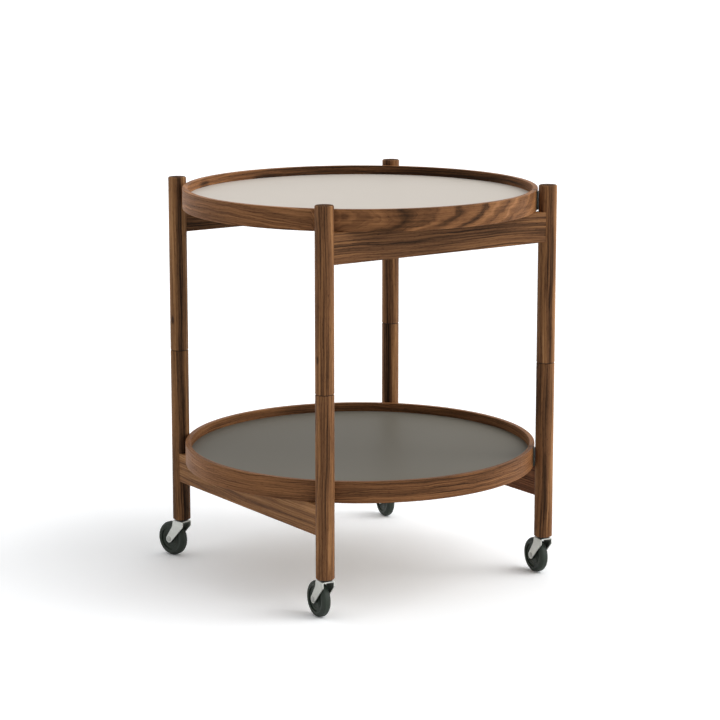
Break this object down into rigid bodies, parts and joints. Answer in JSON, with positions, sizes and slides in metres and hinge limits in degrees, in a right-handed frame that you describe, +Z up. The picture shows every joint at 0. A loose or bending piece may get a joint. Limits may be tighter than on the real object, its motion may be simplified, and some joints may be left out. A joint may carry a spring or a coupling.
{
  "type": "tray table",
  "caption": "Folding round tray table on swivel castors: reversible laminate trays in bent walnut rims, resting on the rails of a hinged walnut frame.",
  "frame": {"origin": "on the floor, below the centre of both trays", "axes": "+X to the right leg, +Y to the back leg, +Z up"},
  "size_m": [0.5823, 0.5808, 0.5606],
  "materials": {
    "walnut": "oiled walnut, satin",
    "core_board": "bare board",
    "light_laminate": "matt light warm grey laminate",
    "dark_laminate": "matt dark warm grey laminate",
    "black_nylon": "satin black nylon",
    "bare_steel": "turned steel",
    "zinc_plate": "bright zinc plating",
    "rivet_steel": "dull riveted steel",
    "hub_nylon": "dark grey moulded nylon",
    "tyre_rubber": "dark grey rubber"
  },
  "bodies": {
    "frame_lower_front_left": {"lower_leg_front": "walnut", "castor_stem_front": "bare_steel", "swivel_washer_front": "black_nylon", "lower_leg_left": "walnut", "castor_stem_left": "bare_steel", "swivel_washer_left": "black_nylon", "lower_rail_front_left": "walnut"},
    "frame_upper_front_right": {"upper_leg_front": "walnut", "pivot_pin_front": "bare_steel", "pivot_washer_front": "black_nylon", "upper_leg_right": "walnut", "pivot_pin_right": "bare_steel", "pivot_washer_right": "black_nylon", "upper_rail_front_right": "walnut"},
    "frame_upper_back_left": {"upper_leg_back": "walnut", "pivot_pin_back": "bare_steel", "pivot_washer_back": "black_nylon", "upper_leg_left": "walnut", "pivot_pin_left": "bare_steel", "pivot_washer_left": "black_nylon", "upper_rail_back_left": "walnut"},
    "frame_lower_back_right": {"lower_leg_back": "walnut", "castor_stem_back": "bare_steel", "swivel_washer_back": "black_nylon", "lower_leg_right": "walnut", "castor_stem_right": "bare_steel", "swivel_washer_right": "black_nylon", "lower_rail_back_right": "walnut"},
    "upper_tray": {"upper_tray_rim": "walnut", "upper_tray_core": "core_board", "upper_tray_light_laminate": "light_laminate", "upper_tray_dark_laminate": "dark_laminate", "upper_tray_seam_strip": "black_nylon"},
    "lower_tray": {"lower_tray_rim": "walnut", "lower_tray_core": "core_board", "lower_tray_light_laminate": "light_laminate", "lower_tray_dark_laminate": "dark_laminate", "lower_tray_seam_strip": "black_nylon"},
    "swivel_right": {"castor_fork_right": "zinc_plate", "castor_axle_right": "rivet_steel"},
    "wheel_right": {"wheel_hub_right": "hub_nylon", "wheel_tyre_right": "tyre_rubber"},
    "swivel_back": {"castor_fork_back": "zinc_plate", "castor_axle_back": "rivet_steel"},
    "wheel_back": {"wheel_hub_back": "hub_nylon", "wheel_tyre_back": "tyre_rubber"},
    "swivel_left": {"castor_fork_left": "zinc_plate", "castor_axle_left": "rivet_steel"},
    "wheel_left": {"wheel_hub_left": "hub_nylon", "wheel_tyre_left": "tyre_rubber"},
    "swivel_front": {"castor_fork_front": "zinc_plate", "castor_axle_front": "rivet_steel"},
    "wheel_front": {"wheel_hub_front": "hub_nylon", "wheel_tyre_front": "tyre_rubber"}
  },
  "joints": [
    {"name": "front_pivot", "type": "hinge", "parent": "frame_lower_front_left", "child": "frame_upper_front_right", "pos_m": [0, -0.2651, 0.3094], "axis": [0, 0, 1], "range_deg": [-0.4, 0]},
    {"name": "left_pivot", "type": "hinge", "parent": "frame_lower_front_left", "child": "frame_upper_back_left", "pos_m": [-0.2651, 0, 0.3094], "axis": [0, 0, 1], "range_deg": [-0.4, 0]},
    {"name": "right_pivot", "type": "hinge", "parent": "frame_upper_front_right", "child": "frame_lower_back_right", "pos_m": [0.2651, 0, 0.3094], "axis": [0, 0, 1], "range_deg": [0, 0.4]},
    {"name": "upper_tray_lift", "type": "slide", "parent": "frame_upper_front_right", "child": "upper_tray", "axis": [0, 0, 1], "range_m": [0, 0.12]},
    {"name": "lower_tray_lift", "type": "slide", "parent": "frame_lower_front_left", "child": "lower_tray", "axis": [0, 0, 1], "range_m": [0, 0.29]},
    {"name": "castor_swivel_right", "type": "hinge", "parent": "frame_lower_back_right", "child": "swivel_right", "pos_m": [0.2651, 0, 0.05], "axis": [0, 0, 1], "continuous": true},
    {"name": "wheel_spin_right", "type": "hinge", "parent": "swivel_right", "child": "wheel_right", "pos_m": [0.25402, 0.01418, 0.025], "axis": [-0.788, -0.6157, 0], "continuous": true},
    {"name": "castor_swivel_back", "type": "hinge", "parent": "frame_lower_back_right", "child": "swivel_back", "pos_m": [0, 0.2651, 0.05], "axis": [0, 0, 1], "continuous": true},
    {"name": "wheel_spin_back", "type": "hinge", "parent": "swivel_back", "child": "wheel_back", "pos_m": [-0.01006, 0.28002, 0.025], "axis": [-0.829, -0.5592, 0], "continuous": true},
    {"name": "castor_swivel_left", "type": "hinge", "parent": "frame_lower_front_left", "child": "swivel_left", "pos_m": [-0.2651, 0, 0.05], "axis": [0, 0, 1], "continuous": true},
    {"name": "wheel_spin_left", "type": "hinge", "parent": "swivel_left", "child": "wheel_left", "pos_m": [-0.28084, 0.00873, 0.025], "axis": [-0.4848, -0.8746, 0], "continuous": true},
    {"name": "castor_swivel_front", "type": "hinge", "parent": "frame_lower_front_left", "child": "swivel_front", "pos_m": [0, -0.2651, 0.05], "axis": [0, 0, 1], "continuous": true},
    {"name": "wheel_spin_front", "type": "hinge", "parent": "swivel_front", "child": "wheel_front", "pos_m": [-0.01157, -0.25131, 0.025], "axis": [-0.766, -0.6428, 0], "continuous": true}
  ],
  "couplings": [
    {"joint": "left_pivot", "follows": "front_pivot", "ratio": 1},
    {"joint": "right_pivot", "follows": "front_pivot", "ratio": -1}
  ]
}
